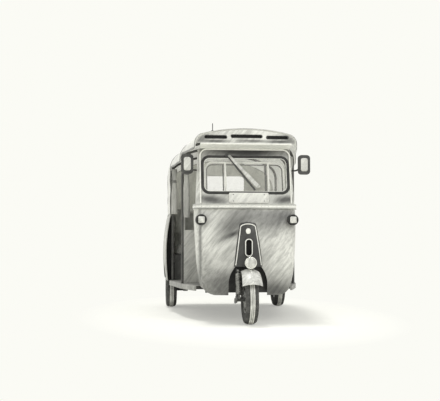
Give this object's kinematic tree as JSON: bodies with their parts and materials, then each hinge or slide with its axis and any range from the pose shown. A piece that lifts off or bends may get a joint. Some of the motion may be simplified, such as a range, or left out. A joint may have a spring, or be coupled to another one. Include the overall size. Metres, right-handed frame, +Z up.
{
  "type": "auto rickshaw",
  "caption": "Motor tricycle for passengers: curved front cowl over one steered wheel, tube-framed canvas hood, open sides, rear bench and hinged rear hatch.",
  "frame": {"origin": "on the ground under the middle of the length and width", "axes": "+Z up, the vehicle faces -Y, +X is its left side"},
  "size_m": [1.3036, 2.6465, 1.7409],
  "materials": {
    "frame_paint": "satin black frame paint, dusty",
    "floor_steel": "worn grey floor paint",
    "trim_paint": "pale enamel, chalky",
    "cowl_paint": "mid grey enamel, mottled and rubbed",
    "dark_paint": "dark graphite paint",
    "lamp_lens": "ribbed clear lens",
    "window_glass": "clear, slightly dusty",
    "dark_plastic": "moulded, matte",
    "seat_vinyl": "dark vinyl with stitched channels",
    "bare_steel": "dull, oily",
    "cast_alloy": "cast, dirty",
    "hood_canvas": "coated canvas, weathered",
    "tyre": "dusty rubber",
    "rim_paint": "grey enamel rim"
  },
  "bodies": {
    "body": {"chassis_frame": "frame_paint", "floor_pan": "floor_steel", "side_sills": "trim_paint", "wheel_housing": "frame_paint", "front_cowl": "cowl_paint", "column_cover": "dark_paint", "front_indicators": "lamp_lens", "belt_moulding": "trim_paint", "windscreen_frame": "cowl_paint", "windscreen_glass": "window_glass", "wiper": "dark_paint", "dashboard": "dark_plastic", "guard_frame": "trim_paint", "mirrors": "dark_plastic", "partition": "trim_paint", "driver_seat_box": "cowl_paint", "driver_seat": "seat_vinyl", "driver_backrest": "seat_vinyl", "seat_base": "frame_paint", "passenger_seat": "seat_vinyl", "passenger_backrest": "seat_vinyl", "body_side_left": "cowl_paint", "body_side_right": "cowl_paint", "rear_panel": "cowl_paint", "rear_bumper": "trim_paint", "tail_lamps": "lamp_lens", "engine_block": "cast_alloy", "silencer": "bare_steel", "rear_arms": "frame_paint", "final_drive": "cast_alloy", "rear_dampers": "bare_steel", "roof_canopy": "hood_canvas", "roof_fascia": "dark_paint", "visor": "trim_paint", "hood_frame": "frame_paint", "side_curtains": "hood_canvas", "antenna": "bare_steel"},
    "steering": {"steering_column": "frame_paint", "handlebar": "bare_steel", "front_link": "frame_paint", "front_damper": "bare_steel", "front_mudguard": "trim_paint", "headlamp": "lamp_lens"},
    "front_wheel": {"front_tyre": "tyre", "front_rim": "rim_paint"},
    "rear_wheel_left": {"rear_left_tyre": "tyre", "rear_left_rim": "rim_paint"},
    "rear_wheel_right": {"rear_right_tyre": "tyre", "rear_right_rim": "rim_paint"},
    "hatch": {"engine_hatch": "cowl_paint"}
  },
  "joints": [
    {"name": "steering", "type": "hinge", "parent": "body", "child": "steering", "pos_m": [0, -1.104, 0.208], "axis": [0, 0.454, 0.891], "range_deg": [-40, 40]},
    {"name": "front_wheel_spin", "type": "hinge", "parent": "steering", "child": "front_wheel", "pos_m": [0, -1.104, 0.208], "axis": [1, 0, 0], "continuous": true},
    {"name": "rear_wheel_left_spin", "type": "hinge", "parent": "body", "child": "rear_wheel_left", "pos_m": [0.573, 0.896, 0.208], "axis": [1, 0, 0], "continuous": true},
    {"name": "rear_wheel_right_spin", "type": "hinge", "parent": "body", "child": "rear_wheel_right", "pos_m": [-0.573, 0.896, 0.208], "axis": [1, 0, 0], "continuous": true},
    {"name": "engine_hatch_hinge", "type": "hinge", "parent": "body", "child": "hatch", "pos_m": [0, 1.299, 0.762], "axis": [1, 0, 0], "range_deg": [0, 80]}
  ]
}
